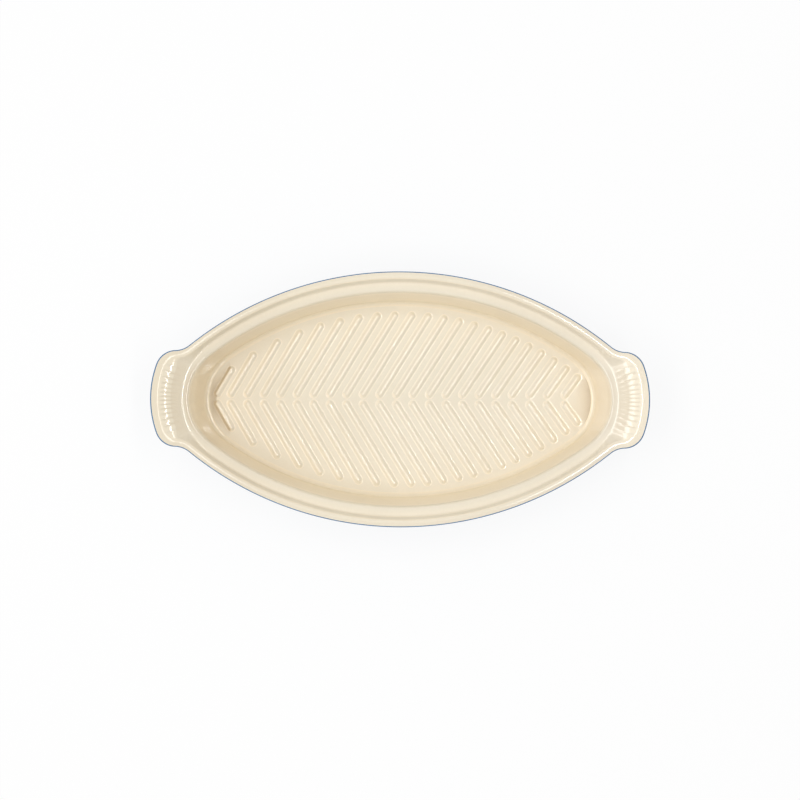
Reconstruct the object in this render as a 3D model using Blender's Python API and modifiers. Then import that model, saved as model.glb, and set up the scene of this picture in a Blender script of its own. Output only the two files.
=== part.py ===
# Oval fish baking dish with two lug handles: a stoneware body, a cream glaze coat inside
# and a blue glaze coat outside. Metres, +Z up, +X along the dish, standing on z = 0.
import math
from collections import namedtuple

import bmesh
import bpy

# Overall sizes, measured over the glaze
DISH_LENGTH = 0.400
DISH_WIDTH = 0.2045
DISH_HEIGHT = 0.055

# Glaze coats
GLAZE_THICKNESS = 0.0005
GLAZE_CLEARANCE = 0.0003
GLAZE_PARTING = 0.0004

# Rim: a raised lip, a groove line at its foot and a sloping shelf
LIP_WIDTH = 0.0080
LIP_HEIGHT = 0.0065
LIP_FACE_RUN = 0.0020
LIP_SHOULDER = 0.0009
LIP_ROLL = 0.0032
LIP_EDGE = 0.0010
UNDER_ROUNDING = 0.0020
SHELF_WIDTH = 0.0078
SHELF_END_WIDTH = 0.0052
SHELF_DROP = 0.0010
SHELF_ROUNDING = 0.0016
FLANGE_THICKNESS = 0.0030

# Well: leaning walls, a fillet and a flat floor
WELL_END_RADIUS = 0.055
WALL_LEAN = 0.0048
WALL_END_LEAN = 0.0090
WALL_THICKNESS = 0.0062
FLOOR_THICKNESS = 0.0062
FLOOR_FILLET = 0.0042
FLOOR_FILLET_SPREAD = 0.0024

# Foot ring under the base
FOOT_HEIGHT = 0.0012
FOOT_WIDTH = 0.0060
FOOT_INSET = 0.0030
FOOT_CHAMFER = 0.0008
GLAZE_STOP_HEIGHT = 0.0045

# Lug handles at both ends
HANDLE_REACH = 0.0248
HANDLE_WIDTH = 0.0773
HANDLE_END_RADIUS = 0.0804
HANDLE_CORNER_RADIUS = 0.0160
NECK_RADIUS = 0.0190
PLATEAU_WIDTH = 0.0116
PLATEAU_CORNER_RADIUS = 0.0050
HANDLE_ROLL = 0.0070
HANDLE_THICKNESS = 0.0115
HANDLE_UNDERCUT = 0.0030
FLUTE_COUNT = 13
FLUTE_DEPTH = 0.0009

# Herringbone ribs pressed into the floor
RIB_PITCH = 0.01356
RIB_WIDTH = 0.0038
RIB_HEIGHT = 0.0022
RIB_START = 0.0017
RIB_MARGIN = 0.0053
RIB_END_MARGIN = 0.0012
RIB_SPINE_GAP = 0.0038
RIB_SHORTEST = 0.012
RIB_FIRST_ANGLE = math.radians(60)
RIB_LAST_ANGLE = math.radians(54)
RIB_TURN_POWER = 1.6

# How finely the curves are divided
SIDE_STEPS = 6
NECK_STEPS = 2
CORNER_STEPS = 3
RIB_END_TURNS = (-90, -32, 32, 90)

# Sizes of the bare clay, worked out from the sizes over the glaze
COAT = GLAZE_THICKNESS + GLAZE_CLEARANCE
HALF_LENGTH = DISH_LENGTH / 2 - COAT
HALF_WIDTH = DISH_WIDTH / 2 - COAT
RIM_Z = DISH_HEIGHT - COAT
GROOVE_Z = RIM_Z - LIP_HEIGHT
SHELF_Z = GROOVE_Z - SHELF_DROP
FLOOR_Z = FOOT_HEIGHT + FLOOR_THICKNESS

# The groove line is the reference contour: all rings of the well are set in from it
GROOVE_HALF_WIDTH = HALF_WIDTH - LIP_WIDTH
GROOVE_HALF_LENGTH = HALF_LENGTH - HANDLE_REACH

# Form of the slope between the lip's edge and the groove, as shares of its run and of the lip's height
SLOPE_MIDDLE = 0.45
SLOPE_TOP = 0.12
SLOPE_MIDDLE_RISE = 0.52
SLOPE_TOP_RISE = 0.84

# Form of the flutes: their depth at three rings as shares of the full depth, how even their spacing is, and
# their share of the plateau's edge
FLUTE_MIDDLE_DEPTH = 0.5
FLUTE_TOP_DEPTH = 1.0
FLUTE_EDGE_DEPTH = 0.6
FLUTE_EVENNESS = 0.76
FLUTE_SPREAD = 0.88

# Where the rim's rolled edge has its middle ring, as a share of its radius
ROLL_MIDDLE = 0.4

# Form of a rib's shoulder and of the fillet's middle ring, as shares of their sizes
RIB_SHOULDER_WIDTH = 0.66
RIB_SHOULDER_RISE = 0.74
FILLET_BEND = 0.35

Column = namedtuple("Column", "x y inward lip flute grip fine")
Lens = namedtuple("Lens", "half_width half_length radius end_radius")


def clear_scene():
    for item in list(bpy.data.objects):
        bpy.data.objects.remove(item, do_unlink=True)


def blend(a, b, share):
    return a + (b - a) * share


def ease(share):
    share = min(max(share, 0.0), 1.0)
    return share * share * (3 - 2 * share)


def lens(side_inset, end_inset):
    # Two long arcs with rounded ends, set in from the groove line
    half_width = GROOVE_HALF_WIDTH - side_inset
    half_length = GROOVE_HALF_LENGTH - end_inset
    radius = SIDE_RADIUS - LIP_WIDTH - side_inset
    rest = 2 * radius * half_width - half_width**2 - half_length**2
    return Lens(half_width, half_length, radius, rest / (2 * (radius - half_length)))


def side_radius():
    # Radius of the rim's long arcs, from the rounded end that the groove line has
    square = GROOVE_HALF_WIDTH**2 + GROOVE_HALF_LENGTH**2 - 2 * GROOVE_HALF_LENGTH * WELL_END_RADIUS
    return square / (2 * (GROOVE_HALF_WIDTH - WELL_END_RADIUS)) + LIP_WIDTH


SIDE_RADIUS = side_radius()
SIDE_CENTRE_Y = HALF_WIDTH - SIDE_RADIUS
HANDLE_CENTRE_X = HALF_LENGTH - HANDLE_END_RADIUS


def leave_circle(start, direction, centre, radius):
    # Where a ray leaves a circle that it meets
    dx = start[0] - centre[0]
    dy = start[1] - centre[1]
    half = dx * direction[0] + dy * direction[1]
    square = half * half - dx * dx - dy * dy + radius * radius
    far = -half + math.sqrt(max(square, 0.0))
    return start[0] + far * direction[0], start[1] + far * direction[1]


def leave_lens(shape, start, direction):
    # Where a ray that goes up from near the long axis leaves a lens
    centre_y = shape.half_width - shape.radius
    end_x = shape.half_length - shape.end_radius
    place = leave_circle(start, direction, (0.0, centre_y), shape.radius)
    tangent_x = shape.radius * end_x / math.hypot(end_x, centre_y)
    if abs(place[0]) > tangent_x:
        end_centre = (math.copysign(end_x, place[0]), 0.0)
        place = leave_circle(start, direction, end_centre, shape.end_radius)
    return place


def lens_place(shape, normal):
    # The point of a lens where its outward normal has this angle to the long axis
    centre_y = shape.half_width - shape.radius
    end_x = shape.half_length - shape.end_radius
    if normal < math.atan2(-centre_y, end_x):
        return end_x + shape.end_radius * math.cos(normal), shape.end_radius * math.sin(normal)
    return shape.radius * math.cos(normal), centre_y + shape.radius * math.sin(normal)


def tangent_centre(a, a_far, b, b_far):
    # The centre at these distances from a and b, on the right of the way from a to b
    apart = math.dist(a, b)
    share = (a_far**2 + apart**2 - b_far**2) / (2 * a_far * apart)
    angle = bearing(a, b) - math.acos(min(max(share, -1.0), 1.0))
    return a[0] + a_far * math.cos(angle), a[1] + a_far * math.sin(angle)


def arc_point(centre, radius, angle):
    # A point on an arc and the angle of the direction away from the arc's centre
    return centre[0] + radius * math.cos(angle), centre[1] + radius * math.sin(angle), angle


def bearing(from_point, to_point):
    return math.atan2(to_point[1] - from_point[1], to_point[0] - from_point[0])


def quarter_columns():
    # Lines across the rim in one quarter, from the handle's end to the middle of the side. Each knows its
    # place on the outline and on the lip's inner edge.
    end = (HANDLE_CENTRE_X, 0.0)
    side = (0.0, SIDE_CENTRE_Y)
    corner_y = HANDLE_WIDTH / 2 - COAT - HANDLE_CORNER_RADIUS
    inner = HANDLE_END_RADIUS - HANDLE_CORNER_RADIUS
    corner = (HANDLE_CENTRE_X + math.sqrt(inner**2 - corner_y**2), corner_y)
    neck = tangent_centre(corner, HANDLE_CORNER_RADIUS + NECK_RADIUS, side, SIDE_RADIUS + NECK_RADIUS)
    side_lip = LIP_WIDTH - LIP_FACE_RUN
    lip_radius = HANDLE_END_RADIUS - PLATEAU_WIDTH
    lip_neck = NECK_RADIUS + side_lip
    lip_inner = lip_radius - PLATEAU_CORNER_RADIUS
    lip_corner = tangent_centre(end, lip_inner, neck, lip_neck + PLATEAU_CORNER_RADIUS)
    corner_start = bearing(end, corner)
    corner_end = bearing(corner, neck)
    lip_start = bearing(end, lip_corner)
    lip_end = bearing(lip_corner, neck)
    fan = FLUTE_SPREAD * lip_start
    columns = []

    def on_ray(angle):
        # Where a ray from the handle's centre meets the outline, which bends at the corner
        if angle < corner_start:
            return arc_point(end, HANDLE_END_RADIUS, angle)
        x, y = leave_circle(end, (math.cos(angle), math.sin(angle)), corner, HANDLE_CORNER_RADIUS)
        return x, y, bearing(corner, (x, y))

    # Flutes: crests and valleys in turn, wider apart towards the corners
    for step in range(FLUTE_COUNT):
        share = step / FLUTE_COUNT
        angle = fan * blend(share**3, share, FLUTE_EVENNESS)
        x, y, outward = on_ray(angle)
        lip = arc_point(end, lip_radius, angle)[:2]
        columns.append(Column(x, y, outward + math.pi, lip, step % 2, 1.0, step % 2 == 1))

    # Corner: the lip's edge runs on along the plateau and then turns more tightly than the outline
    last_angle = max(on_ray(fan)[2], corner_start)
    end_run = (lip_start - fan) * lip_radius
    turn_run = (lip_end - lip_start) * PLATEAU_CORNER_RADIUS
    bends = CORNER_STEPS + NECK_STEPS
    for step in range(CORNER_STEPS + 1):
        share = step / CORNER_STEPS
        x, y, outward = arc_point(corner, HANDLE_CORNER_RADIUS, blend(last_angle, corner_end, share))
        run = share * (end_run + turn_run) - end_run
        if run < 0:
            lip = arc_point(end, lip_radius, lip_start + run / lip_radius)[:2]
        else:
            lip = arc_point(lip_corner, PLATEAU_CORNER_RADIUS, lip_start + run / PLATEAU_CORNER_RADIUS)[:2]
        columns.append(Column(x, y, outward + math.pi, lip, 0, 1 - ease(step / bends), False))

    # Neck, where the outline bends the other way
    neck_end = bearing(neck, side)
    for step in range(1, NECK_STEPS + 1):
        share = step / NECK_STEPS
        x, y, inward = arc_point(neck, NECK_RADIUS, blend(corner_end - math.pi, neck_end, share))
        lip = arc_point(neck, lip_neck, blend(lip_end - math.pi, neck_end, share))[:2]
        columns.append(Column(x, y, inward, lip, 0, 1 - ease((CORNER_STEPS + step) / bends), False))

    # Long side
    for step in range(1, SIDE_STEPS + 1):
        angle = blend(bearing(side, neck), math.pi / 2, step / SIDE_STEPS)
        x, y, outward = arc_point(side, SIDE_RADIUS, angle)
        lip = arc_point(side, SIDE_RADIUS - side_lip, angle)[:2]
        columns.append(Column(x, y, outward + math.pi, lip, 0, 0.0, False))
    return columns


def whole_loop(place, fine):
    # A ring's points all round, from a rule that places one quarter; coarse rings skip the valleys
    quarter = []
    for column in COLUMNS:
        skipped = column.fine and not fine
        quarter.append(None if skipped else place(column))
    upper = quarter + [p and (-p[0], p[1], p[2]) for p in reversed(quarter[:-1])]
    return upper + [p and (p[0], -p[1], p[2]) for p in reversed(upper[1:-1])]


def well_normal(column):
    # The normal of the groove line that points at the column's place on the lip
    end = (GROOVE.half_length - GROOVE.end_radius, 0.0)
    side = (0.0, SIDE_CENTRE_Y)
    normal = bearing(end, column.lip)
    return normal if normal < bearing(side, end) else bearing(side, column.lip)


def lens_ring(side_inset, end_inset, z, fine=False):
    # z is a height or a rule of a column
    shape = lens(side_inset, end_inset)

    def place(column):
        return *lens_place(shape, well_normal(column)), z(column) if callable(z) else z

    return whole_loop(place, fine)


def set_in(column, depth):
    # The place at this depth in from the outline
    return column.x + depth * math.cos(column.inward), column.y + depth * math.sin(column.inward)


def rim_ring(inset, z, fine=True):
    # inset and z are rules of a column; inset runs in from the outline
    def place(column):
        return *set_in(column, inset(column)), z(column)

    return whole_loop(place, fine)


def shoulder_ring():
    # Where the lip's top starts to turn down, a little outside its inner edge
    def place(column):
        back = LIP_SHOULDER / math.dist(column.lip, (column.x, column.y))
        z = RIM_Z - FLUTE_EDGE_DEPTH * FLUTE_DEPTH * column.flute
        return blend(column.lip[0], column.x, back), blend(column.lip[1], column.y, back), z

    return whole_loop(place, True)


def roll(column):
    # Radius of the rim's outer edge
    return blend(LIP_ROLL, HANDLE_ROLL, column.grip)


def under_z(column):
    # Height of the underside near the outline: the lugs are thicker than the flange
    return blend(GROOVE_Z - FLANGE_THICKNESS, RIM_Z - HANDLE_THICKNESS, column.grip)


def slope_ring(share, rise, flute_depth):
    # A ring at this share of the way from the lip's inner edge down to the groove
    def place(column):
        lip = column.lip
        groove = lens_place(GROOVE, well_normal(column))
        z = GROOVE_Z + LIP_HEIGHT * rise - flute_depth * FLUTE_DEPTH * column.flute
        return blend(lip[0], groove[0], share), blend(lip[1], groove[1], share), z

    return whole_loop(place, True)


def roll_ring(inset, fine=True):
    # A ring on the rolled edge
    def z(column):
        radius = roll(column)
        return RIM_Z - radius + math.sqrt(radius**2 - (radius - inset(column)) ** 2)

    return rim_ring(inset, z, fine)


def dish_rings():
    # Rings of the clay from the floor's edge, up the well, over the rim and down to the foot
    wall_side = SHELF_WIDTH + SHELF_ROUNDING
    wall_end = SHELF_END_WIDTH + SHELF_ROUNDING
    wall_z = SHELF_Z - 2 * SHELF_ROUNDING
    foot_side = wall_side + WALL_LEAN
    foot_end = wall_end + WALL_END_LEAN
    spread = FLOOR_FILLET_SPREAD
    bend = spread * FILLET_BEND
    bend_z = FLOOR_Z + FLOOR_FILLET * FILLET_BEND
    rings = [
        lens_ring(foot_side + spread, foot_end + spread, FLOOR_Z),
        lens_ring(foot_side + bend, foot_end + bend, bend_z),
        lens_ring(foot_side, foot_end, FLOOR_Z + FLOOR_FILLET),
        lens_ring(wall_side, wall_end, wall_z),
        lens_ring(SHELF_WIDTH, SHELF_END_WIDTH, SHELF_Z),
        lens_ring(0.0, 0.0, GROOVE_Z, fine=True),
        slope_ring(SLOPE_MIDDLE, SLOPE_MIDDLE_RISE, FLUTE_MIDDLE_DEPTH),
        slope_ring(SLOPE_TOP, SLOPE_TOP_RISE, FLUTE_TOP_DEPTH),
        shoulder_ring(),
        roll_ring(roll),
        roll_ring(lambda column: roll(column) * ROLL_MIDDLE),
        roll_ring(lambda column: LIP_EDGE),
    ]
    inside_last = len(rings) - 1
    rings.append(roll_ring(lambda column: LIP_EDGE - GLAZE_PARTING, fine=False))
    outside_first = len(rings) - 1

    # Under the rim: the outer wall follows the well at the wall's thickness
    outer_side = wall_side - WALL_THICKNESS
    outer_end = wall_end - WALL_THICKNESS
    base_side = foot_side - WALL_THICKNESS
    base_end = foot_end - WALL_THICKNESS
    stop_side = base_side + FOOT_INSET / 2
    stop_end = base_end + FOOT_INSET / 2
    ring_side = base_side + FOOT_INSET
    ring_end = base_end + FOOT_INSET
    recess_side = ring_side + FOOT_WIDTH
    recess_end = ring_end + FOOT_WIDTH
    rings += [
        roll_ring(lambda column: 0.0, fine=False),
        rim_ring(lambda column: LIP_SHOULDER, lambda column: under_z(column) + LIP_SHOULDER, fine=False),
        rim_ring(lambda column: UNDER_ROUNDING, under_z, fine=False),
        lens_ring(outer_side, outer_end, lambda column: under_z(column) - HANDLE_UNDERCUT),
        lens_ring(base_side, base_end, FLOOR_Z + FLOOR_FILLET),
        lens_ring(stop_side, stop_end, GLAZE_STOP_HEIGHT),
    ]
    outside_last = len(rings) - 1
    rings += [
        lens_ring(ring_side, ring_end, FOOT_CHAMFER),
        lens_ring(ring_side + FOOT_CHAMFER, ring_end + FOOT_CHAMFER, 0.0),
        lens_ring(recess_side, recess_end, 0.0),
        lens_ring(recess_side + FOOT_HEIGHT, recess_end + FOOT_HEIGHT, FOOT_HEIGHT),
    ]
    floor_inset = (foot_side + spread, foot_end + spread)
    return rings, inside_last, outside_first, outside_last, floor_inset


def rib_loops(start, end):
    # One round-topped bar on the floor: its foot, its shoulder and the two ends of its crest
    angle = bearing(start, end)
    loops = []
    for share, rise in ((1.0, 0.0), (RIB_SHOULDER_WIDTH, RIB_SHOULDER_RISE)):
        radius = share * RIB_WIDTH / 2
        z = FLOOR_Z + rise * RIB_HEIGHT
        points = []
        for centre, facing in ((end, angle), (start, angle + math.pi)):
            for turn in RIB_END_TURNS:
                a = facing + math.radians(turn)
                points.append((centre[0] + radius * math.cos(a), centre[1] + radius * math.sin(a), z))
        loops.append(points)
    crest = [(*end, FLOOR_Z + RIB_HEIGHT), (*start, FLOOR_Z + RIB_HEIGHT)]
    return loops, crest


def rib_bars(floor_inset):
    # Pairs of bars on either side of the spine, from the left end as far as they fit
    side_inset = floor_inset[0] + RIB_MARGIN + RIB_WIDTH / 2
    end_inset = floor_inset[1] + RIB_END_MARGIN + RIB_WIDTH / 2
    limit = lens(side_inset, end_inset)
    floor_end = GROOVE_HALF_LENGTH - floor_inset[1]
    start_y = (RIB_SPINE_GAP + RIB_WIDTH) / 2
    spine_x = -floor_end + RIB_START
    bars = []
    while spine_x < floor_end:
        share = (spine_x + floor_end) / (2 * floor_end)
        angle = blend(RIB_FIRST_ANGLE, RIB_LAST_ANGLE, share**RIB_TURN_POWER)
        start = (spine_x + start_y / math.tan(angle), start_y)
        end = leave_lens(limit, start, (math.cos(angle), math.sin(angle)))
        if end[1] > start_y + RIB_SHORTEST * math.sin(angle):
            bars.append((start, end))
            bars.append(((start[0], -start[1]), (end[0], -end[1])))
        spine_x += RIB_PITCH
    return bars


def add_ribbed_floor(bm, floor_ring, bars):
    rim = [v for v in floor_ring if v]
    edges = [bm.edges.get((a, b)) for a, b in zip(rim, rim[1:] + rim[:1])]
    for start, end in bars:
        (foot, shoulder), crest = rib_loops(start, end)
        foot = [bm.verts.new(p) for p in foot]
        shoulder = [bm.verts.new(p) for p in shoulder]
        tip, root = [bm.verts.new(p) for p in crest]
        count = len(foot)
        for i in range(count):
            j = (i + 1) % count
            bm.faces.new((foot[i], foot[j], shoulder[j], shoulder[i]))
            edges.append(bm.edges.get((foot[i], foot[j])))
        for i in range(count // 2 - 1):
            bm.faces.new((shoulder[i], shoulder[i + 1], tip))
            bm.faces.new((shoulder[i + count // 2], shoulder[i + count // 2 + 1], root))
        bm.faces.new((shoulder[count // 2 - 1], shoulder[count // 2], root, tip))
        bm.faces.new((shoulder[-1], shoulder[0], tip, root))
    filled = bmesh.ops.triangle_fill(bm, use_beauty=True, edges=edges, normal=(0, 0, 1))
    faces = [f for f in filled["geom"] if isinstance(f, bmesh.types.BMFace)]
    for face in faces:
        face.normal_update()
        if face.normal.z < 0:
            face.normal_flip()


def add_band(bm, near, far):
    # Faces between two rings; a point that only one ring has gets a fan of triangles
    count = len(near)
    kept = [i for i in range(count) if near[i] and far[i]]
    for a, b in zip(kept, kept[1:] + [kept[0] + count]):
        outer = [far[i % count] for i in range(a, b + 1)]
        inner = [near[i % count] for i in range(b, a - 1, -1)]
        loop = [v for v in outer + inner if v]
        lone = [v for v in outer[1:-1] + inner[1:-1] if v]
        if not lone:
            bm.faces.new(loop)
            continue
        turn = loop.index(lone[0])
        loop = loop[turn:] + loop[:turn]
        for i in range(1, len(loop) - 1):
            bm.faces.new((loop[0], loop[i], loop[i + 1]))


def make_sheet(rings, bars=None, closed_base=False):
    bm = bmesh.new()
    loops = []
    for ring in rings:
        loops.append([p and bm.verts.new(p) for p in ring])
    for near, far in zip(loops, loops[1:]):
        add_band(bm, near, far)
    if bars:
        add_ribbed_floor(bm, loops[0], bars)
    if closed_base:
        bm.faces.new([v for v in reversed(loops[-1]) if v])
    bmesh.ops.triangulate(bm, faces=bm.faces[:], quad_method="FIXED", ngon_method="EAR_CLIP")
    bm.normal_update()
    return bm


def lift_off(bm, clearance):
    # Moves a sheet out along its normals, so that it clears the clay evenly
    moved = [(v, v.co + v.normal * clearance * v.calc_shell_factor()) for v in bm.verts]
    for vert, place in moved:
        vert.co = place
    bm.normal_update()


def make_material(name, colour, roughness):
    material = bpy.data.materials.new(name)
    material.use_nodes = True
    shader = material.node_tree.nodes["Principled BSDF"]
    shader.inputs["Base Color"].default_value = (*colour, 1.0)
    shader.inputs["Roughness"].default_value = roughness
    shader.inputs["Metallic"].default_value = 0.0
    return material


def make_object(name, bm, material, group, parent):
    mesh = bpy.data.meshes.new(name)
    bm.to_mesh(mesh)
    bm.free()
    mesh.materials.append(material)
    mesh.shade_smooth()
    item = bpy.data.objects.new(name, mesh)
    item.parent = parent
    group.objects.link(item)
    return item


def thicken(item, thickness):
    solidify = item.modifiers.new("Glaze thickness", "SOLIDIFY")
    solidify.thickness = thickness
    solidify.offset = 1.0
    solidify.use_even_offset = True


GROOVE = lens(0.0, 0.0)
COLUMNS = quarter_columns()


def main():
    clear_scene()
    group = bpy.data.collections.new("Fish baking dish")
    bpy.context.scene.collection.children.link(group)
    dish = bpy.data.objects.new("dish", None)
    group.objects.link(dish)

    clay = make_material("bare stoneware", (0.60, 0.50, 0.38), 0.75)
    cream = make_material("cream glaze", (0.88, 0.77, 0.59), 0.12)
    blue = make_material("blue glaze", (0.06, 0.19, 0.38), 0.12)

    rings, inside_last, outside_first, outside_last, floor_inset = dish_rings()
    bars = rib_bars(floor_inset)

    body = make_sheet(rings, bars, closed_base=True)
    make_object("stoneware_body", body, clay, group, dish)

    inside = make_sheet(rings[: inside_last + 1], bars)
    lift_off(inside, GLAZE_CLEARANCE)
    thicken(make_object("interior_glaze", inside, cream, group, dish), GLAZE_THICKNESS)

    outside = make_sheet(rings[outside_first : outside_last + 1])
    lift_off(outside, GLAZE_CLEARANCE)
    thicken(make_object("exterior_glaze", outside, blue, group, dish), GLAZE_THICKNESS)
    print("ribs", len(bars), "columns", len(rings[0]))


main()
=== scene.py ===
import math
from collections import namedtuple

import bmesh
import bpy
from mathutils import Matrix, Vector


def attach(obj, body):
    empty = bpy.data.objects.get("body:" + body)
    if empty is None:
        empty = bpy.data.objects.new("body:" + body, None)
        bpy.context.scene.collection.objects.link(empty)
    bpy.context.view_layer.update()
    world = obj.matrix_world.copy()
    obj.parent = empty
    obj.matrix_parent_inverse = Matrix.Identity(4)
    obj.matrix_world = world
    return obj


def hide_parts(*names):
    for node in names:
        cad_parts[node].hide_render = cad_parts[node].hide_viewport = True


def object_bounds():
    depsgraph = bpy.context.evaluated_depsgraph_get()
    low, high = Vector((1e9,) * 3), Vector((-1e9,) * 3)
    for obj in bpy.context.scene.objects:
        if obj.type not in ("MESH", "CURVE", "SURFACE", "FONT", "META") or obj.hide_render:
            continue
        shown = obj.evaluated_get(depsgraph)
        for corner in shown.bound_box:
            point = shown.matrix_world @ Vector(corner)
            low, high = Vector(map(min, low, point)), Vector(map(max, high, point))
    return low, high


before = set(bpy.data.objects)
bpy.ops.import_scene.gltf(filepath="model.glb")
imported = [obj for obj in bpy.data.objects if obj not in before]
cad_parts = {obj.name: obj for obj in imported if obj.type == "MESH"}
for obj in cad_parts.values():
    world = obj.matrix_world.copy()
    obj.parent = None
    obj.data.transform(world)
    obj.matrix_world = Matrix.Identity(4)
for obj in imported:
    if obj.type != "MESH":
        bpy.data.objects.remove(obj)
cadLow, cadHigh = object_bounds()
mm = 0.001
print("frame loaded")

# overall sizes come from the frame, and the dressed dish stays just inside it
clearance = 0.02 * mm
halfLength = cadHigh.x - clearance
halfWidth = cadHigh.y - clearance
topZ = cadHigh.z - clearance

Lens = namedtuple("Lens", "halfWidth halfLength radius endRadius")
Column = namedtuple("Column", "x y inward lip groove flute grip")


def blend(a, b, share):
    return a + (b - a) * share


def ease(share):
    share = min(max(share, 0.0), 1.0)
    return share * share * (3 - 2 * share)


def bearing(a, b):
    return math.atan2(b[1] - a[1], b[0] - a[0])


def onCircle(centre, radius, angle):
    return centre[0] + radius * math.cos(angle), centre[1] + radius * math.sin(angle)


def tangentCentre(a, aFar, b, bFar):
    # centre of a circle at these distances from a and b, on the right of the way from a to b
    apart = math.dist(a, b)
    turn = math.acos((aFar**2 + apart**2 - bFar**2) / (2 * aFar * apart))
    return onCircle(a, aFar, bearing(a, b) - turn)


rim = {
    "sideRadius": 268.4 * mm,     # long sides, seen from above
    "lipWidth": 8.4 * mm,         # outline to groove on the long sides
    "lipHeight": 6.5 * mm,        # lip above the groove
    "faceRun": 2.6 * mm,          # how far the lip's inner face leans
    "shoulder": 3.4 * mm,         # how far in the flat top starts
    "shoulderDrop": 1.5 * mm,
    "shoulderShare": 0.6,         # most of the rim's width that the shoulder takes
    "shoulderRounding": 4.0 * mm,
    "sideRun": 5.0 * mm,          # upright side below the blue line
    "outerRounding": 1.4 * mm,    # the blue line seen from above
    "edgeRounding": 2.0 * mm,
    "grooveRounding": 2.2 * mm,
    "shelfWidth": 7.6 * mm,
    "shelfEndWidth": 5.2 * mm,
    "shelfDrop": 1.0 * mm,
    "shelfEndDrop": 0.9 * mm,
    "shelfRounding": 2.6 * mm,
    "depth": 10.8 * mm,           # lip to underside
    "underRounding": 2.2 * mm,
}
handle = {
    "reach": 25.2 * mm,           # past the groove line
    "halfWidth": 38.65 * mm,
    "endRadius": 81.2 * mm,
    "cornerRadius": 16.7 * mm,
    "neckRadius": 18.5 * mm,
    "plateau": 11.8 * mm,         # outline to the fluted edge
    "plateauCorner": 5.0 * mm,
    "outerRounding": 2.0 * mm,
    "shoulder": 6.0 * mm,
    "shoulderDrop": 2.9 * mm,
    "shoulderRounding": 3.0 * mm,
    "edgeRounding": 22.0 * mm,
    "grooveRounding": 4.0 * mm,
    "depth": 13.1 * mm,
    "undercut": 3.0 * mm,
    "flutesEachWay": 6.5,
    "fluteSpread": 0.87,          # share of the plateau's edge
    "fluteEvenness": 0.76,        # below 1 the middle flutes are narrower
    "fluteDepth": 0.42 * mm,
    "lastFlute": 0.45,            # the outermost valleys are shallower
    "lastFluteRun": 0.2,          # share of the corner over which they fade
    "fluteStart": (-5.0 * mm, -2.0 * mm),    # from the plateau's edge, where they fade in
    "fluteEnd": (2.5 * mm, 13.5 * mm),       # and out
    "neckGrip": 0.5,              # share of the handle's form that is left between corner and neck
}
steps = {
    "flute": (0.0, 0.12, 0.24, 0.36, 0.46, 0.5, 0.54, 0.64, 0.76, 0.88),    # closer in the valley
    "corner": 24,
    "neck": 16,
    "side": 36,
}

grooveZ = topZ - rim["lipHeight"]
grooveWidth = halfWidth - rim["lipWidth"]
grooveLength = halfLength - handle["reach"]
sideRadius = rim["sideRadius"]
sideCentre = (0.0, halfWidth - sideRadius)
handleCentre = (halfLength - handle["endRadius"], 0.0)


def lens(sideInset, endInset):
    # two long arcs with round ends, set in from the groove line
    width = grooveWidth - sideInset
    length = grooveLength - endInset
    radius = sideRadius - rim["lipWidth"] - sideInset
    rest = 2 * radius * width - width**2 - length**2
    return Lens(width, length, radius, rest / (2 * (radius - length)))


def lensPlace(shape, normal):
    centreY = shape.halfWidth - shape.radius
    endX = shape.halfLength - shape.endRadius
    if normal < math.atan2(-centreY, endX):
        return onCircle((endX, 0.0), shape.endRadius, normal)
    return onCircle((0.0, centreY), shape.radius, normal)


def leaveCircle(start, direction, centre, radius):
    dx, dy = start[0] - centre[0], start[1] - centre[1]
    half = dx * direction[0] + dy * direction[1]
    far = -half + math.sqrt(max(half * half - dx * dx - dy * dy + radius * radius, 0.0))
    return start[0] + far * direction[0], start[1] + far * direction[1]


def leaveLens(shape, start, direction):
    centreY = shape.halfWidth - shape.radius
    endX = shape.halfLength - shape.endRadius
    place = leaveCircle(start, direction, (0.0, centreY), shape.radius)
    if abs(place[0]) > shape.radius * endX / math.hypot(endX, centreY):
        place = leaveCircle(start, direction, (math.copysign(endX, place[0]), 0.0), shape.endRadius)
    return place


grooveLens = lens(0.0, 0.0)
grooveEnd = (grooveLens.halfLength - grooveLens.endRadius, 0.0)


def makeColumn(outline, inward, lip, flute=0.0, grip=0.0):
    # one line across the rim; its groove angle is that of the groove line nearest to the lip
    normal = bearing(grooveEnd, lip)
    if normal > bearing(sideCentre, grooveEnd):
        normal = bearing(sideCentre, lip)
    return Column(*outline, inward, lip, normal, flute, grip)


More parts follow.
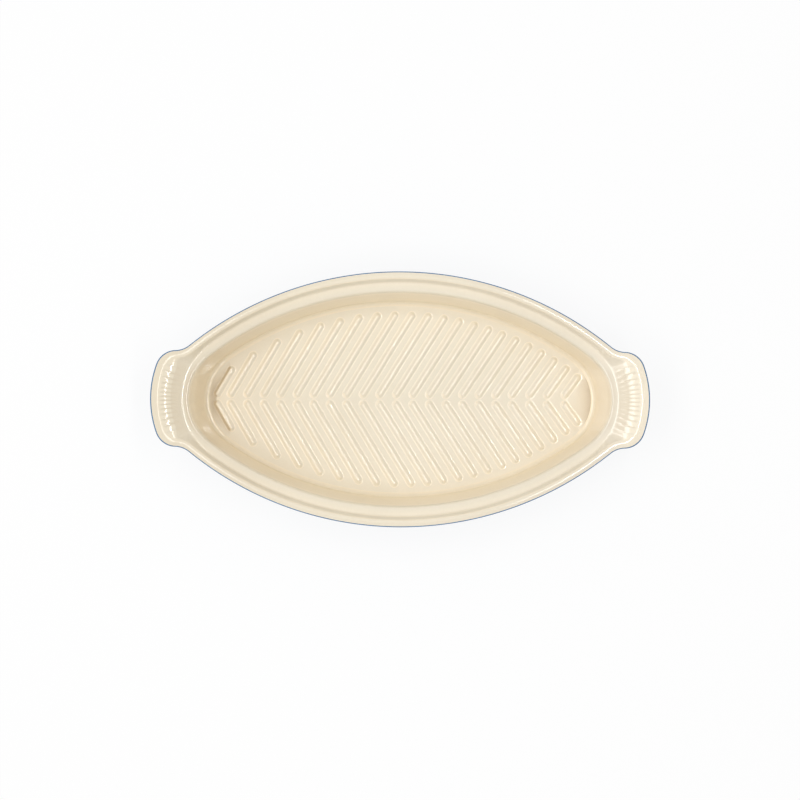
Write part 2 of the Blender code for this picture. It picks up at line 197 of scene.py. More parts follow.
def quarterColumns():
    # from the middle of the handle's end, round its corner and neck, to the middle of the side
    sideLip = rim["lipWidth"] - rim["faceRun"]
    cornerRadius, neckRadius = handle["cornerRadius"], handle["neckRadius"]
    cornerY = handle["halfWidth"] - cornerRadius
    inner = handle["endRadius"] - cornerRadius
    corner = (handleCentre[0] + math.sqrt(inner**2 - cornerY**2), cornerY)
    neck = tangentCentre(corner, cornerRadius + neckRadius, sideCentre, sideRadius + neckRadius)
    lipRadius = handle["endRadius"] - handle["plateau"]
    lipNeck = neckRadius + sideLip
    lipRound = handle["plateauCorner"]
    lipCorner = tangentCentre(handleCentre, lipRadius - lipRound, neck, lipNeck + lipRound)
    made = []

    lipFan = bearing(handleCentre, lipCorner)
    lipEnd = bearing(lipCorner, neck)
    fan = handle["fluteSpread"] * lipFan
    endFan = bearing(handleCentre, corner)
    each = handle["flutesEachWay"]
    for place in [k + p for k in range(math.ceil(each)) for p in steps["flute"] if k + p <= each]:
        share = place / each
        angle = fan * blend(share**3, share, handle["fluteEvenness"])
        outline = onCircle(handleCentre, handle["endRadius"], angle)
        inward = angle + math.pi
        if angle > endFan:
            direction = (math.cos(angle), math.sin(angle))
            outline = leaveCircle(handleCentre, direction, corner, cornerRadius)
            inward = bearing(outline, corner)
        valley = (2 * abs(place - round(place))) ** 2
        if place > each - 0.5:
            valley *= handle["lastFlute"]
        made.append(makeColumn(outline, inward, onCircle(handleCentre, lipRadius, angle), valley, 1.0))

    endRun = (lipFan - fan) * lipRadius
    cornerRun = (lipEnd - lipFan) * lipRound
    cornerStart = bearing(corner, outline)
    cornerEnd = bearing(corner, neck)
    for i in range(steps["corner"]):
        share = (i + 1) / steps["corner"]
        angle = blend(cornerStart, cornerEnd, share)
        run = share * (endRun + cornerRun) - endRun
        if run < 0:
            lip = onCircle(handleCentre, lipRadius, lipFan + run / lipRadius)
        else:
            lip = onCircle(lipCorner, lipRound, lipFan + run / lipRound)
        outline = onCircle(corner, cornerRadius, angle)
        valley = handle["lastFlute"] * max(1 - share / handle["lastFluteRun"], 0.0)
        grip = blend(1.0, handle["neckGrip"], ease(share))
        made.append(makeColumn(outline, angle + math.pi, lip, valley, grip))

    neckEnd = bearing(neck, sideCentre)
    for i in range(steps["neck"]):
        share = (i + 1) / steps["neck"]
        angle = blend(cornerEnd - math.pi, neckEnd, share)
        lip = onCircle(neck, lipNeck, blend(lipEnd - math.pi, neckEnd, share))
        outline = onCircle(neck, neckRadius, angle)
        made.append(makeColumn(outline, angle, lip, 0.0, blend(handle["neckGrip"], 0.0, ease(share))))

    sideStart = bearing(sideCentre, neck)
    for i in range(steps["side"]):
        angle = blend(sideStart, math.pi / 2, (i + 1) / steps["side"])
        lip = onCircle(sideCentre, sideRadius - sideLip, angle)
        made.append(makeColumn(onCircle(sideCentre, sideRadius, angle), angle + math.pi, lip))
    return made


cornerRoom = 0.48    # most of a straight that the arc in its corner takes
wideRoom = 0.9       # the same where no other arc meets it


def rounded(before, corner, after, radius, count, room=cornerRoom, roomBefore=cornerRoom):
    # an arc of this radius in place of a corner, as so many points
    a, b = before - corner, after - corner
    half = a.angle(b) / 2
    run = min(radius / math.tan(half), roomBefore * a.length, room * b.length)
    first, last = corner + a.normalized() * run, corner + b.normalized() * run
    weight = math.sin(half)
    places = []
    for i in range(count):
        t = i / (count - 1)
        parts = ((1 - t) ** 2, 2 * weight * t * (1 - t), t**2)
        places.append((first * parts[0] + corner * parts[1] + last * parts[2]) / sum(parts))
    return places


def between(a, b, count):
    return [a.lerp(b, (i + 1) / (count + 1)) for i in range(count)]


well = {
    "wallSide": 13.9 * mm,        # groove to the wall's foot
    "wallEnd": 14.6 * mm,
    "floorZ": 8.2 * mm,
    "floorRounding": 4.2 * mm,
    "floorMargin": 3.4 * mm,      # wall's foot to the flat floor
    "paintedShadow": 2.0,                  # painted shadow at the ends of the floor, where the end walls shade it
    "firstShadow": 0.4,             # share of it at the first end
    "shadowWidth": 17.0 * mm,
    "shadowReach": 27.0 * mm,
    "shadowPower": 1.6,             # above 1 it keeps closer to the wall
}
foot = {
    "wallTopSide": 1.85 * mm,     # outer wall, set in from the groove line
    "wallTopEnd": 0.2 * mm,
    "wallBaseSide": 8.1 * mm,
    "wallBaseEnd": 9.4 * mm,
    "wallBaseZ": 8.0 * mm,
    "wallRounding": 4.0 * mm,
    "baseRounding": 3.0 * mm,
    "stopZ": 4.5 * mm,            # where the blue glaze stops
    "stopInset": 1.6 * mm,
    "inset": 3.0 * mm,
    "width": 6.0 * mm,
    "chamfer": 0.8 * mm,
    "chamferBend": 0.3,           # share of it where it bends
    "recess": 1.2 * mm,
    "recessBend": 0.8,
    "recessRun": 2.4 * mm,        # foot ring to the recess's flat
}

shelfLens = lens(rim["shelfWidth"], rim["shelfEndWidth"])
wallLens = lens(well["wallSide"], well["wallEnd"])
floorInset = (well["wallSide"] + well["floorMargin"], well["wallEnd"] + well["floorMargin"])
floorLens = lens(*floorInset)
wallTopLens = lens(foot["wallTopSide"], foot["wallTopEnd"])
wallBaseLens = lens(foot["wallBaseSide"], foot["wallBaseEnd"])
stopLens = lens(foot["wallBaseSide"] + foot["stopInset"], foot["wallBaseEnd"] + foot["stopInset"])


def rimPlace(column, depth, z):
    return Vector((*onCircle(column[:2], depth, column.inward), z))


def wellPlace(shape, column, z):
    return Vector((*lensPlace(shape, column.groove), z))


def atGrip(name, column):
    # a size that changes from the rim's to the handle's
    return blend(rim[name], handle[name], column.grip)


# points on each stretch of a line across the rim
points = {
    "blue": 8, "cream": 2, "shoulder": 9, "lip": 10, "slope": 7,
    "groove": 9, "shelf": 9, "wall": 3, "bend": 10,
    "under": 8, "flange": 2, "wallTop": 9, "outerWall": 4, "base": 6,
}
shelfFlat = 4    # of the shelf's points, those before it bends down
# how much darker (above 0) or paler (below 0) the cream is there, on the long sides and at the ends: glaze
# that lies thicker or runs thin, and painted highlight, painted light and painted shade
insideGlazeAndLight = {
    "edge": (-0.5, -0.5),
    "lip": (-0.4, -0.4),
    # painted highlight along the lip
    "lipHighlight": (-0.8, -0.8),
    # painted shade on the handles' slope into the groove
    "slope": (0.0, 0.6),
    "groove": (-0.5, 0.1),
    # painted highlight along the groove
    "grooveHighlight": (-0.5, -0.5),
    # painted shade on the shelf at the ends
    "shelf": (0.0, 1.0),
    # painted highlight along the shelf
    "shelfHighlight": (-0.3, -0.3),
    "shelfBend": (0.0, 0.2),
    # painted highlight on the shelf's edge at the ends
    "shelfEdgeHighlight": (0.0, -1.2),
    # painted light on the walls
    "wall": (-2.0, -3.0),
    # painted light at the wall's foot
    "bendLight": (-2.0, -1.0),
    # painted light beside the long walls, painted shadow at the ends
    "floor": (-0.6, well["paintedShadow"]),
}
highlightPlace = {"lip": 0.6, "groove": 0.5, "shelf": 0.2, "bend": 0.7}    # where along its arc each painted highlight line lies, where the arc faces a lamp
highlightReach = 2.2      # points to each side of it
fluteGlazeAndShade = 1.0     # glaze pooled in the flutes' valleys, and painted shade there
firstShelfShade = {"glaze": 0.8, "start": 145 * mm, "run": 20 * mm}    # painted shade on the shelf at the first end
outsideGlaze = {
    "blue": -1.0, "under": 0.3, "flange": 0.2, "wallTop": 0.6, "outerWall": 0.0, "base": 0.3, "stop": 0.8,
}


def outerEdge(column):
    # the rim's outer edge: the blue arc from the upright side, then the cream slope and its shoulder
    inset = min(atGrip("shoulder", column), rim["shoulderShare"] * math.dist(column[:2], column.lip))
    drop = atGrip("shoulderDrop", column)
    below = rimPlace(column, 0.0, topZ - drop - rim["sideRun"])
    outer = rimPlace(column, 0.0, topZ - drop)
    shoulder = rimPlace(column, inset, topZ)
    lip = Vector((*column.lip, topZ))
    blueArc = rounded(below, outer, shoulder, atGrip("outerRounding", column), points["blue"])
    return blueArc, rounded(outer, shoulder, lip, atGrip("shoulderRounding", column), points["shoulder"])


def withHighlight(count, base, line, place):
    # tint along an arc that differs at one line, a painted highlight
    return [blend(base, line, max(1 - abs(i - place * (count - 1)) / highlightReach, 0.0)) for i in range(count)]


def insideLine(column):
    # the cream side of one column, from the blue line over the lip to the floor's edge, and its glaze and
    # painted light and shade
    tints = {name: blend(*ends, column.grip) for name, ends in insideGlazeAndLight.items()}
    blueArc, shoulderArc = outerEdge(column)
    lip = Vector((*column.lip, topZ))
    groove = wellPlace(grooveLens, column, grooveZ)
    shelf = wellPlace(shelfLens, column, grooveZ - blend(rim["shelfDrop"], rim["shelfEndDrop"], column.grip))
    wall = wellPlace(wallLens, column, well["floorZ"])
    floor = wellPlace(floorLens, column, well["floorZ"])

    edge = [blueArc[-1]] + between(blueArc[-1], shoulderArc[0], points["cream"]) + shoulderArc
    lipRadius = atGrip("edgeRounding", column)
    lipArc = rounded(edge[-1], lip, groove, lipRadius, points["lip"], roomBefore=wideRoom)
    grooveArc = rounded(lip, groove, shelf, atGrip("grooveRounding", column), points["groove"])
    slope = between(lipArc[-1], grooveArc[0], points["slope"])
    shelfArc = rounded(groove, shelf, wall, rim["shelfRounding"], points["shelf"])
    bendArc = rounded(shelf, wall, floor, well["floorRounding"], points["bend"], room=wideRoom)
    wallRun = between(shelfArc[-1], bendArc[0], points["wall"])
    line = edge + lipArc + slope + grooveArc + shelfArc + wallRun + bendArc + [floor]

    glazeAndLight = [tints["edge"]] * len(edge)
    glazeAndLight += withHighlight(len(lipArc), tints["lip"], tints["lipHighlight"], highlightPlace["lip"])
    glazeAndLight += [tints["slope"]] * len(slope)
    glazeAndLight += withHighlight(len(grooveArc), tints["groove"], tints["grooveHighlight"], highlightPlace["groove"])
    glazeAndLight += withHighlight(len(shelfArc), tints["shelf"], tints["shelfHighlight"], highlightPlace["shelf"])[:shelfFlat]
    glazeAndLight += [tints["shelfBend"]] + [tints["shelfEdgeHighlight"]] * (len(shelfArc) - shelfFlat - 1)
    glazeAndLight += [tints["wall"]] * len(wallRun)
    glazeAndLight += withHighlight(len(bendArc), tints["wall"], tints["bendLight"], highlightPlace["bend"])
    glazeAndLight += [tints["floor"]]

    if column.flute:
        # from the plateau's edge to the middle of the groove
        first = len(edge)
        last = first + len(lipArc) + len(slope) + (len(grooveArc) + 1) // 2
        down = (groove - lip).xy.normalized()
        for i in range(first, last):
            past = (line[i] - lip).xy.dot(down)
            low, high = handle["fluteStart"]
            window = ease((past - low) / (high - low))
            low, high = handle["fluteEnd"]
            window *= 1 - ease((past - low) / (high - low))
            line[i].z -= handle["fluteDepth"] * column.flute * window
            # glaze pooled in the valleys, and painted shade there
            glazeAndLight[i] = blend(glazeAndLight[i], fluteGlazeAndShade, column.flute * window)
    return line, glazeAndLight


def outsideLine(column):
    # the blue side of one column, from the blue line down to where the glaze stops
    edge = list(reversed(outerEdge(column)[0]))
    underZ = topZ - atGrip("depth", column)
    under = rimPlace(column, 0.0, underZ)
    wallTop = wellPlace(wallTopLens, column, underZ - handle["undercut"])
    base = wellPlace(wallBaseLens, column, foot["wallBaseZ"])
    stop = wellPlace(stopLens, column, foot["stopZ"])
    underArc = rounded(edge[-1], under, wallTop, rim["underRounding"], points["under"])
    wallArc = rounded(under, wallTop, base, foot["wallRounding"], points["wallTop"])
    baseArc = rounded(wallTop, base, stop, foot["baseRounding"], points["base"])
    stretches = {
        "blue": edge,
        "under": underArc,
        "flange": between(underArc[-1], wallArc[0], points["flange"]),
        "wallTop": wallArc,
        "outerWall": between(wallArc[-1], baseArc[0], points["outerWall"]),
        "base": baseArc,
        "stop": [stop],
    }
    line = [place for places in stretches.values() for place in places]
    return line, [outsideGlaze[name] for name, places in stretches.items() for _ in places]


def footLine(column):
    # the bare clay below the glaze: foot ring and recess
    side = foot["wallBaseSide"] + foot["inset"]
    end = foot["wallBaseEnd"] + foot["inset"]
    bend = foot["chamfer"] * foot["chamferBend"]
    places = (
        (0.0, foot["chamfer"]),
        (bend, bend),
        (foot["chamfer"], 0.0),
        (foot["width"] - foot["chamfer"], 0.0),
        (foot["width"], bend),
        (foot["width"] + foot["chamfer"], foot["recess"] * foot["recessBend"]),
        (foot["width"] + foot["recessRun"], foot["recess"]),
    )
    return [wellPlace(lens(side + inset, end + inset), column, z) for inset, z in places]


def wholeLoop(quarter):
    # mirrors one quarter's points all round
    upper = quarter + [Vector((-p.x, p.y, p.z)) for p in reversed(quarter[:-1])]
    return upper + [Vector((p.x, -p.y, p.z)) for p in reversed(upper[1:-1])]


def ringsOf(lines):
    return [wholeLoop(list(ring)) for ring in zip(*lines)]


def glazeAndLightOf(lines):
    # one list of values for each ring, in the order of wholeLoop
    rings = []
    for ring in zip(*lines):
        upper = list(ring) + list(reversed(ring[:-1]))
        rings.append(upper + list(reversed(upper[1:-1])))
    return rings


columns = quarterColumns()
insideLines = [insideLine(c) for c in columns]
outsideLines = [outsideLine(c) for c in columns]
insideRings = ringsOf([line for line, _ in insideLines])
insideGlazeAndLightRings = glazeAndLightOf([glazeAndLight for _, glazeAndLight in insideLines])
outsideRings = ringsOf([line for line, _ in outsideLines])
outsideGather = glazeAndLightOf([glazeAndLight for _, glazeAndLight in outsideLines])
footRings = ringsOf([footLine(c) for c in columns])
print("rim", len(insideRings), "rings of", len(insideRings[0]), "points")

ribs = {
    "count": 22,
    "pitch": 13.56 * mm,
    "halfWidth": 3.7 * mm,
    "height": 1.5 * mm,
    "start": 1.9 * mm,
    "margin": 3.9 * mm,
    "endMargin": -4.1 * mm,
    "spineGap": 0.8 * mm,
    "firstShift": 2.5 * mm,       # the first pair stands closer to the second
    "lastShift": 2.5 * mm,        # the last pairs spread towards the end
    "spreading": 3,               # how many pairs do so
    "firstAngle": math.radians(60),
    "lastAngle": math.radians(54),
    "turnPower": 1.6,             # above 1 they turn mostly near the last
    "endSteps": 9,
    "crown": 1.12,                # above 1 the top is broader
    # loops from the floor to the crest, as shares of the half width
    "levels": (1.06, 1.02, 0.97, 0.91, 0.86, 0.79, 0.72, 0.65, 0.58, 0.51, 0.44, 0.36, 0.27, 0.18, 0.09),
    "flankGlaze": 0.05,
    # painted shade on the crest, which dims its glint
    "crestShade": 0.45,
    "paintedHighlight": -1.0,            # painted highlight at the foot, the ends of the crest and the spine's side
    "highlightFoot": 0.90,             # outside this share of the half width
    "highlightSpine": (0.4, 0.8),      # between these shares
    "facingFirst": -0.3,          # cosine below which a side faces the first end
    "firstShadow": 2.0,             # painted shadow on the first pair, between it and the wall
    "shadowFrom": 0.3,              # outside this share of the half width
    "shadowFoot": 0.4,              # share of it on the foot at the outer end
}


def ribBars():
    startY = ribs["spineGap"] / 2 + ribs["halfWidth"]
    sideInset = floorInset[0] + ribs["margin"] + ribs["halfWidth"]
    limit = lens(sideInset, floorInset[1] + ribs["endMargin"] + ribs["halfWidth"])
    last = ribs["count"] - 1
    made = []
    for i in range(ribs["count"]):
        spineX = floorInset[1] - grooveLength + ribs["start"] + ribs["pitch"] * i
        if i == 0:
            spineX += ribs["firstShift"]
        spineX += ribs["lastShift"] * max(1 - (last - i) / ribs["spreading"], 0.0)
        angle = blend(ribs["firstAngle"], ribs["lastAngle"], (i / last) ** ribs["turnPower"])
        start = (spineX + startY / math.tan(angle), startY)
        end = leaveLens(limit, start, (math.cos(angle), math.sin(angle)))
        made.append((start, end))
        made.append(((start[0], -start[1]), (end[0], -end[1])))
    return made


bars = ribBars()
print("ribs", len(bars))


def edgesOf(bm, loop):
    return [bm.edges.get(pair) for pair in zip(loop, loop[1:] + loop[:1])]


def addRings(bm, rings, glazeAndLight, glazeAndLightLayer):
    loops = []
    for i, ring in enumerate(rings):
        loop = [bm.verts.new(p) for p in ring]
        if glazeAndLight:
            for vert, value in zip(loop, glazeAndLight[i]):
                vert[glazeAndLightLayer] = value
        loops.append(loop)
    return loops


def joinLoops(bm, loops):
    for near, far in zip(loops, loops[1:]):
        count = len(near)
        for i in range(count):
            j = (i + 1) % count
            bm.faces.new((near[i], near[j], far[j], far[i]))


# painted shadow on the first pair's sides that face the first end, painted highlight at the foot and the
# spine's side, painted shade towards the crest
def ribGlazeAndLight(level, rise, atSpine, onRound, direction, paintedShadow):
    facesFirst = math.cos(direction) < ribs["facingFirst"]
    if paintedShadow and facesFirst and level > ribs["shadowFrom"]:
        return paintedShadow if level < ribs["highlightFoot"] or atSpine else ribs["shadowFoot"] * paintedShadow
    low, high = ribs["highlightSpine"]
    if atSpine and onRound and facesFirst and low < level < high:
        return ribs["paintedHighlight"]
    if level == ribs["levels"][0]:
        return 0.0
    if level > ribs["highlightFoot"]:
        return ribs["paintedHighlight"]
    return blend(ribs["flankGlaze"], ribs["crestShade"], rise**2)


def addRib(bm, start, end, glazeAndLightLayer, paintedShadow):
    # a bar with a round crest that sweeps into the floor; returns the edges of its outermost loop
    angle = bearing(start, end)
    crestZ = well["floorZ"] + ribs["height"]
    loops = []
    for level in ribs["levels"]:
        rise = 0.5 + 0.5 * math.cos(math.pi * min(level, 1.0) ** ribs["crown"])
        loop = []
        for centre, facing in ((end, angle), (start, angle + math.pi)):
            for i in range(ribs["endSteps"] + 1):
                direction = facing - math.pi / 2 + math.pi * i / ribs["endSteps"]
                place = onCircle(centre, level * ribs["halfWidth"], direction)
                vert = bm.verts.new((*place, well["floorZ"] + ribs["height"] * rise))
                onRound = 0 < i < ribs["endSteps"]
                vert[glazeAndLightLayer] = ribGlazeAndLight(level, rise, centre is start, onRound, direction, paintedShadow)
                loop.append(vert)
        loops.append(loop)
    joinLoops(bm, loops)

    tip, root = [bm.verts.new((*place, crestZ)) for place in (end, start)]
    # painted highlight at both ends of the crest
    tip[glazeAndLightLayer] = root[glazeAndLightLayer] = ribs["paintedHighlight"]
    outer, last = loops[0], loops[-1]
    half = len(last) // 2
    for i in range(half - 1):
        bm.faces.new((last[i], last[i + 1], tip))
        bm.faces.new((last[i + half], last[i + half + 1], root))
    bm.faces.new((last[half - 1], last[half], root, tip))
    bm.faces.new((last[-1], last[0], tip, root))
    return edgesOf(bm, outer)


def addFloor(bm, ring, glazeAndLightLayer):
    # the flat floor between its edge and the ribs; returns the edges inside it
    edges = edgesOf(bm, ring)
    for i, (start, end) in enumerate(bars):
        # the first pair carries painted shadow
        edges += addRib(bm, start, end, glazeAndLightLayer, ribs["firstShadow"] if i < 2 else 0.0)
    filled = bmesh.ops.triangle_fill(bm, use_beauty=True, edges=edges, normal=(0, 0, 1))["geom"]
    for face in filled:
        if isinstance(face, bmesh.types.BMFace):
            face.normal_update()
            if face.normal.z < 0:
                face.normal_flip()
    return [e for e in filled if isinstance(e, bmesh.types.BMEdge) and e not in edges]


fineFloor = {
    "before": 2 * mm,             # starts this far before the last ribs' roots
    "edge": 4 * mm,               # longer edges are cut
    "cuts": 4,
}


def shadeAtEnd(bm, inner, glazeAndLightLayer):
    # finer faces past the last ribs, where painted shadow darkens the floor towards the wall
    startX = bars[-1][0][0] - fineFloor["before"]
    past = [e for e in inner if min(v.co.x for v in e.verts) > startX]
    coarse = [e for e in past if e.calc_length() > fineFloor["edge"]]
    made = bmesh.ops.subdivide_edges(bm, edges=coarse, cuts=fineFloor["cuts"])["geom_inner"]
    centre = (floorLens.halfLength - floorLens.endRadius, 0.0)
    for vert in [v for v in made if isinstance(v, bmesh.types.BMVert)]:
        near = 1 - (floorLens.endRadius - math.dist(vert.co.xy, centre)) / well["shadowWidth"]
        across = 1 - (vert.co.y / well["shadowReach"]) ** 2
        vert[glazeAndLightLayer] = well["paintedShadow"] * max(near, 0.0) ** well["shadowPower"] * max(across, 0.0)


def insideSheet():
    bm = bmesh.new()
    layer = bm.verts.layers.float.new("glazeAndLight")
    loops = addRings(bm, insideRings, insideGlazeAndLightRings, layer)
    joinLoops(bm, loops)
    # the floor's edge keeps only part of its painted shadow and painted light at the first end
    for vert in [v for v in loops[-1] if v.co.x < 0]:
        vert[layer] *= well["firstShadow"]
    shelfStart = 1 + sum(points[name] for name in ("cream", "shoulder", "lip", "slope", "groove"))
    # painted shade on the shelf, stronger towards the first end
    for vert in [v for loop in loops[shelfStart:shelfStart + shelfFlat] for v in loop]:
        vert[layer] += firstShelfShade["glaze"] * ease((-vert.co.x - firstShelfShade["start"]) / firstShelfShade["run"])
    shadeAtEnd(bm, addFloor(bm, loops[-1], layer), layer)
    bm.normal_update()
    return bm


def outsideSheet():
    bm = bmesh.new()
    layer = bm.verts.layers.float.new("glazeAndLight")
    joinLoops(bm, list(reversed(addRings(bm, outsideRings, outsideGather, layer))))
    bm.normal_update()
    return bm


coat = {
    "thickness": 0.5 * mm,
    "clayDepth": 0.7 * mm,               # the clay lies this far below the glaze's face
    "sharpAngle": math.radians(80),
}


def clayBody():
    # the whole dish below its glaze: glazed faces lie deeper, the foot is bare
    bm = bmesh.new()
    layer = bm.verts.layers.float.new("glazeAndLight")
    inside = addRings(bm, insideRings, None, layer)
    outside = addRings(bm, outsideRings[1:], None, layer)
    bare = addRings(bm, footRings, None, layer)
    joinLoops(bm, list(reversed(bare)) + list(reversed(outside)) + inside)
    addFloor(bm, inside[-1], layer)
    bm.faces.new(list(reversed(bare[-1])))
    bm.normal_update()
    kept = set(v for loop in bare for v in loop)
    moved = [(v, v.co - v.normal * coat["clayDepth"]) for v in bm.verts if v not in kept]
    for vert, place in moved:
        vert.co = place
    bm.normal_update()
    return bm


def makePiece(name, bm, material, thickness, node):
    mesh = bpy.data.meshes.new(name)
    bm.to_mesh(mesh)
    bm.free()
    item = bpy.data.objects.new(name, mesh)
    bpy.context.scene.collection.objects.link(item)
    if thickness:
        solidify = item.modifiers.new("coat", "SOLIDIFY")
        solidify.thickness = thickness
        solidify.offset = -1.0
        bpy.context.view_layer.update()
        solid = item.evaluated_get(bpy.context.evaluated_depsgraph_get())
        mesh = bpy.data.meshes.new_from_object(solid)
        item.modifiers.clear()
        item.data = mesh
        mesh.name = name
    mesh.shade_smooth()
    mesh.set_sharp_from_angle(angle=coat["sharpAngle"])
    mesh.materials.clear()
    mesh.materials.append(material)
    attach(item, "root")
    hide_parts(node)


def newMaterial(name):
    material = bpy.data.materials.new(name)
    material.use_nodes = True
    return material, material.node_tree, material.node_tree.nodes["Principled BSDF"]


def noiseNode(tree, place, scale, detail=2.0, roughness=0.5):
    node = tree.nodes.new("ShaderNodeTexNoise")
    node.inputs["Scale"].default_value = scale
    node.inputs["Detail"].default_value = detail
    node.inputs["Roughness"].default_value = roughness
    tree.links.new(place.outputs["Object"], node.inputs["Vector"])
    return node.outputs["Fac"]


def rangeNode(tree, value, source, target):
    node = tree.nodes.new("ShaderNodeMapRange")
    tree.links.new(value, node.inputs["Value"])
    node.inputs["From Min"].default_value, node.inputs["From Max"].default_value = source
    node.inputs["To Min"].default_value, node.inputs["To Max"].default_value = target
    return node.outputs["Result"]


def rampNode(tree, value, stops):
    node = tree.nodes.new("ShaderNodeValToRGB")
    elements = node.color_ramp.elements
    while len(elements) < len(stops):
        elements.new(0.5)
    for element, (place, colour) in zip(elements, stops):
        element.position = place
        element.color = (*colour, 1.0)
    tree.links.new(value, node.inputs["Fac"])
    return node.outputs["Color"]


def tintNode(tree, colour, tint):
    node = tree.nodes.new("ShaderNodeMix")
    node.data_type = "RGBA"
    node.blend_type = "MULTIPLY"
    node.inputs["Factor"].default_value = 1.0
    tree.links.new(colour, node.inputs["A"])
    tree.links.new(tint, node.inputs["B"])
    return node.outputs["Result"]


def addBump(tree, shader, heights, distance):
    # heights is a list of (value, strength) laid over each other
    normal = None
    for value, strength in heights:
        bump = tree.nodes.new("ShaderNodeBump")
        bump.inputs["Strength"].default_value = strength
        bump.inputs["Distance"].default_value = distance
        tree.links.new(value, bump.inputs["Height"])
        if normal:
            tree.links.new(normal, bump.inputs["Normal"])
        normal = bump.outputs["Normal"]
    tree.links.new(normal, shader.inputs["Normal"])


glazeAndLightRange = (-3.0, 2.0)    # from the palest to the darkest: thin glaze, painted light and painted highlight up to thick glaze and painted shade


def glazeAndLightValue(tree):
    node = tree.nodes.new("ShaderNodeAttribute")
    node.attribute_name = "glazeAndLight"
    return rangeNode(tree, node.outputs["Fac"], glazeAndLightRange, (0.0, 1.0))


noiseMiddle = (0.3, 0.7)     # where most of a noise's values lie

cream = {
    "broadScale": 16.0,
    "fineScale": 420.0,
    "rippleScale": 75.0,
    "tone": [(0.3, (0.875, 0.795, 0.640)), (0.7, (0.895, 0.817, 0.665))],
    # from the palest, painted light and painted highlight, to the darkest, thick glaze and painted shadow
    "glazeAndLightTint": [
        (0.0, (1.16, 1.125, 1.06)),
        (0.2, (1.10, 1.06, 0.99)),
        (0.4, (1.12, 1.09, 1.06)),
        (0.6, (1.0, 1.0, 1.0)),
        (0.8, (0.90, 0.86, 0.81)),
        (1.0, (0.70, 0.63, 0.54)),
    ],
    "alongRange": (-200 * mm, 200 * mm),
    # painted shade towards the first end and painted light at the last
    "along": [
        (0.0, (0.935, 0.925, 0.90)),
        (0.15, (0.915, 0.90, 0.88)),
        (0.3, (0.965, 0.96, 0.95)),
        (0.5, (0.985, 0.985, 0.985)),
        (0.85, (0.965, 0.965, 0.97)),
        (0.91, (0.985, 0.985, 1.0)),
        (1.0, (1.15, 1.15, 1.15)),
    ],
    "speck": [(0.35, (0.985, 0.982, 0.975)), (0.65, (1.0, 1.0, 1.0))],
    "roughness": (0.07, 0.11),
    "ior": 1.7,
    "ripple": 0.015,
    "grain": 0.00375,
}
blue = {
    "broadScale": 30.0,
    "fineScale": 500.0,
    "rippleScale": 75.0,
    "tone": [(0.25, (0.045, 0.150, 0.320)), (0.75, (0.070, 0.215, 0.420))],
    "glazeAndLightTint": [(0.4, (1.1, 1.05, 1.0)), (0.6, (1.0, 1.0, 1.0)), (0.8, (0.72, 0.76, 0.82))],
    "speck": [(0.3, (0.9, 0.92, 0.94)), (0.7, (1.0, 1.0, 1.0))],
    "roughness": (0.08, 0.14),
    "ripple": 0.08,
    "grain": 0.02,
}
clay = {
    "broadScale": 40.0,
    "grainScale": 900.0,
    "tone": [(0.3, (0.55, 0.45, 0.33)), (0.7, (0.64, 0.54, 0.42))],
    "speck": [(0.30, (0.55, 0.48, 0.42)), (0.40, (1.0, 1.0, 1.0))],
    "roughness": (0.7, 0.88),
    "lumps": 0.15,
    "grain": 0.25,
}
bumpDistance = {"glaze": 1.0 * mm, "clay": 0.3 * mm}


def creamGlaze():
    material, tree, shader = newMaterial("cream glaze")
    place = tree.nodes.new("ShaderNodeTexCoord")
    broad = noiseNode(tree, place, cream["broadScale"], 3.0)
    fine = noiseNode(tree, place, cream["fineScale"], 3.0, 0.6)
    apart = tree.nodes.new("ShaderNodeSeparateXYZ")
    tree.links.new(place.outputs["Object"], apart.inputs["Vector"])
    along = rangeNode(tree, apart.outputs["X"], cream["alongRange"], (0.0, 1.0))
    colour = rampNode(tree, broad, cream["tone"])
    colour = tintNode(tree, colour, rampNode(tree, glazeAndLightValue(tree), cream["glazeAndLightTint"]))
    colour = tintNode(tree, colour, rampNode(tree, fine, cream["speck"]))
    # painted shade and light along the length
    colour = tintNode(tree, colour, rampNode(tree, along, cream["along"]))
    tree.links.new(colour, shader.inputs["Base Color"])
    tree.links.new(rangeNode(tree, fine, noiseMiddle, cream["roughness"]), shader.inputs["Roughness"])
    shader.inputs["IOR"].default_value = cream["ior"]
    ripple = noiseNode(tree, place, cream["rippleScale"])
    addBump(tree, shader, [(ripple, cream["ripple"]), (fine, cream["grain"])], bumpDistance["glaze"])
    return material


def blueGlaze():
    material, tree, shader = newMaterial("blue glaze")
    place = tree.nodes.new("ShaderNodeTexCoord")
    broad = noiseNode(tree, place, blue["broadScale"], 5.0, 0.6)
    fine = noiseNode(tree, place, blue["fineScale"], 3.0, 0.6)
    colour = rampNode(tree, broad, blue["tone"])
    colour = tintNode(tree, colour, rampNode(tree, glazeAndLightValue(tree), blue["glazeAndLightTint"]))
    colour = tintNode(tree, colour, rampNode(tree, fine, blue["speck"]))
    tree.links.new(colour, shader.inputs["Base Color"])
    tree.links.new(rangeNode(tree, fine, noiseMiddle, blue["roughness"]), shader.inputs["Roughness"])
    ripple = noiseNode(tree, place, blue["rippleScale"])
    addBump(tree, shader, [(ripple, blue["ripple"]), (fine, blue["grain"])], bumpDistance["glaze"])
    return material


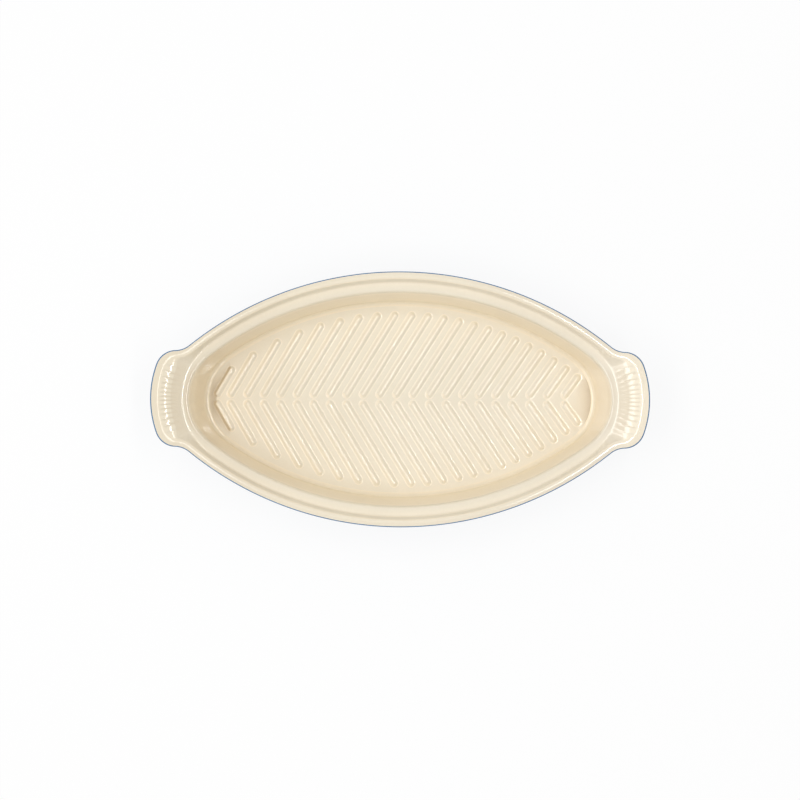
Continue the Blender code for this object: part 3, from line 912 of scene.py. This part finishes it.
def bareClay():
    material, tree, shader = newMaterial("bare stoneware")
    place = tree.nodes.new("ShaderNodeTexCoord")
    broad = noiseNode(tree, place, clay["broadScale"], 4.0, 0.6)
    grain = noiseNode(tree, place, clay["grainScale"], 4.0, 0.7)
    colour = tintNode(tree, rampNode(tree, broad, clay["tone"]), rampNode(tree, grain, clay["speck"]))
    tree.links.new(colour, shader.inputs["Base Color"])
    tree.links.new(rangeNode(tree, grain, noiseMiddle, clay["roughness"]), shader.inputs["Roughness"])
    addBump(tree, shader, [(broad, clay["lumps"]), (grain, clay["grain"])], bumpDistance["clay"])
    return material


makePiece("cream_inside", insideSheet(), creamGlaze(), coat["thickness"], "interior_glaze")
print("cream inside made")
makePiece("blue_outside", outsideSheet(), blueGlaze(), coat["thickness"], "exterior_glaze")
print("blue outside made")
makePiece("clay_body", clayBody(), bareClay(), 0.0, "stoneware_body")
print("clay body made")

ground = {
    "size": 4.0,
    "drop": 0.2 * mm,                    # below the foot ring
    "colour": (0.97, 0.97, 0.97, 1.0),
    "roughness": 0.9,
    "white": 0.87,                       # the rest shows the dish's shadow
}


def whiteFloor():
    # white where it is seen or mirrored, and an ordinary pale floor for the light that falls on it
    material, tree, shader = newMaterial("white floor")
    shader.inputs["Base Color"].default_value = ground["colour"]
    shader.inputs["Roughness"].default_value = ground["roughness"]
    path = tree.nodes.new("ShaderNodeLightPath")
    seen = path.outputs["Is Camera Ray"]
    for ray in ("Is Glossy Ray", "Is Transmission Ray"):
        either = tree.nodes.new("ShaderNodeMath")
        either.operation = "MAXIMUM"
        tree.links.new(seen, either.inputs[0])
        tree.links.new(path.outputs[ray], either.inputs[1])
        seen = either.outputs["Value"]
    glow = tree.nodes.new("ShaderNodeEmission")
    mix = tree.nodes.new("ShaderNodeMixShader")
    tree.links.new(rangeNode(tree, seen, (0.0, 1.0), (0.0, ground["white"])), mix.inputs["Fac"])
    tree.links.new(shader.outputs["BSDF"], mix.inputs[1])
    tree.links.new(glow.outputs["Emission"], mix.inputs[2])
    tree.links.new(mix.outputs["Shader"], tree.nodes["Material Output"].inputs["Surface"])
    return material


floorMesh = bpy.data.meshes.new("floor")
floorBm = bmesh.new()
bmesh.ops.create_grid(floorBm, x_segments=1, y_segments=1, size=ground["size"])
floorBm.to_mesh(floorMesh)
floorBm.free()
floorMesh.materials.append(whiteFloor())
floorItem = bpy.data.objects.new("floor", floorMesh)
floorItem.location.z = cadLow.z - ground["drop"]
bpy.context.scene.collection.objects.link(floorItem)
print("floor made")

# light: a long soft box on each side, a narrow one for the glints, and an even room
lights = {
    "left": {"place": (-0.70, 0.03, 1.45), "size": (0.56, 1.6), "power": 9.6, "glintOnly": False},
    "right": {"place": (0.42, 0.03, 1.45), "size": (0.14, 1.6), "power": 6.0, "glintOnly": False},
    "narrow": {"place": (0.42, 0.03, 1.44), "size": (0.06, 0.8), "power": 3.25, "glintOnly": True},
}
room = 0.485
for name, box in lights.items():
    data = bpy.data.lights.new(name + " soft box", "AREA")
    data.shape = "RECTANGLE"
    data.size, data.size_y = box["size"]
    data.energy = box["power"]
    lamp = bpy.data.objects.new(name + " soft box", data)
    lamp.location = box["place"]
    lamp.rotation_euler = (0.0, math.atan2(box["place"][0], box["place"][2]), 0.0)    # towards the dish
    lamp.visible_camera = False
    lamp.visible_diffuse = not box["glintOnly"]
    bpy.context.scene.collection.objects.link(lamp)

world = bpy.data.worlds.new("room")
bpy.context.scene.world = world
world.use_nodes = True
worldBack = world.node_tree.nodes["Background"]
worldBack.inputs["Color"].default_value = (1.0, 1.0, 1.0, 1.0)
worldBack.inputs["Strength"].default_value = room
bpy.context.scene.view_settings.view_transform = "Standard"

# camera: straight above, as in the picture
view = {
    "rimWidth": 639.4 * mm,              # seen across the picture at the rim's height
    "rimZ": 52.0 * mm,
    "height": 1.545,                     # above the rim
    "turn": math.radians(0.24),
    "shift": (-0.06 * mm, -0.52 * mm),
    "sensor": 36.0,
}
lensData = bpy.data.cameras.new("camera")
lensData.sensor_width = view["sensor"]
lensData.lens = view["sensor"] * view["height"] / view["rimWidth"]
camera = bpy.data.objects.new("camera", lensData)
camera.location = (*view["shift"], view["rimZ"] + view["height"])
camera.rotation_euler = (0.0, 0.0, view["turn"])
bpy.context.scene.collection.objects.link(camera)
bpy.context.scene.camera = camera
print("lights and camera set")
